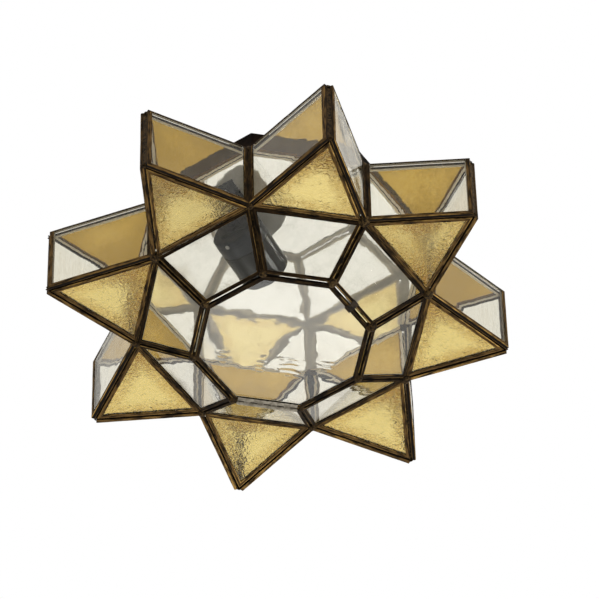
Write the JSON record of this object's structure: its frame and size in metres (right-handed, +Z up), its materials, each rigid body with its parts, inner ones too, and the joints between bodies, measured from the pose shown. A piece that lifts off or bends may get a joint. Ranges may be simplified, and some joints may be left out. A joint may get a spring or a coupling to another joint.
{
  "type": "flush mount ceiling light",
  "caption": "Star-shaped flush mount ceiling light of amber and clear glass in antique brass channel, with a hinged octagonal glass door below.",
  "frame": {"origin": "centre of the mounting bar's top face, where the bar lies against the ceiling", "axes": "+Z up into the ceiling; the door's hinge is on the +Y side; the socket points towards +X+Y; +X completes the frame"},
  "size_m": [0.4637, 0.4653, 0.1657],
  "materials": {
    "came_brass": "dark antique patina, tinned inside",
    "amber_glass": "hand-rolled amber, rippled",
    "clear_glass": "hand-rolled clear, seedy",
    "mirror": "silvered",
    "solder": "patinated solder",
    "hinge_steel": "tinned, dull",
    "catch_brass": "dark patina",
    "pan_brass": "dark bronze patina",
    "plated_steel": "zinc plated",
    "screw_brass": "antique brass",
    "bakelite": "glossy black",
    "contact_brass": "bright",
    "lead_sheath": "matt black",
    "rubber": "matt black"
  },
  "bodies": {
    "lantern": {"point_frame_1": "came_brass", "point_frame_2": "came_brass", "point_frame_3": "came_brass", "point_frame_4": "came_brass", "point_frame_5": "came_brass", "point_frame_6": "came_brass", "point_frame_7": "came_brass", "point_frame_8": "came_brass", "point_amber_1": "amber_glass", "point_amber_2": "amber_glass", "point_amber_3": "amber_glass", "point_amber_4": "amber_glass", "point_amber_5": "amber_glass", "point_amber_6": "amber_glass", "point_amber_7": "amber_glass", "point_amber_8": "amber_glass", "point_clear_1": "clear_glass", "point_clear_2": "clear_glass", "point_clear_3": "clear_glass", "point_clear_4": "clear_glass", "point_clear_5": "clear_glass", "point_clear_6": "clear_glass", "point_clear_7": "clear_glass", "point_clear_8": "clear_glass", "slope_frame_1": "came_brass", "slope_frame_2": "came_brass", "slope_frame_3": "came_brass", "slope_frame_4": "came_brass", "slope_frame_5": "came_brass", "slope_frame_6": "came_brass", "slope_frame_7": "came_brass", "slope_frame_8": "came_brass", "slope_pane_1": "clear_glass", "slope_pane_2": "clear_glass", "slope_pane_3": "clear_glass", "slope_pane_4": "clear_glass", "slope_pane_5": "clear_glass", "slope_pane_6": "clear_glass", "slope_pane_7": "clear_glass", "slope_pane_8": "clear_glass", "mirror_frame": "came_brass", "mirror_glass": "mirror", "solder_seams": "solder", "hinge_body_leaf": "hinge_steel", "hinge_pin": "hinge_steel", "catch_clip": "catch_brass", "ceiling_pan": "pan_brass", "mounting_bar": "plated_steel", "thumb_screws": "screw_brass", "socket_bracket": "plated_steel", "bracket_screws": "plated_steel", "socket_shell": "bakelite", "socket_cap": "bakelite", "socket_contacts": "contact_brass", "socket_leads": "lead_sheath", "wire_grommet": "rubber"},
    "door": {"door_frame": "came_brass", "door_pane": "clear_glass", "hinge_door_leaf": "hinge_steel", "door_tab": "catch_brass"}
  },
  "joints": [
    {"name": "door_hinge", "type": "hinge", "parent": "lantern", "child": "door", "pos_m": [0, 0.08296, -0.1641], "axis": [1, 0, 0], "range_deg": [0, 110]}
  ]
}
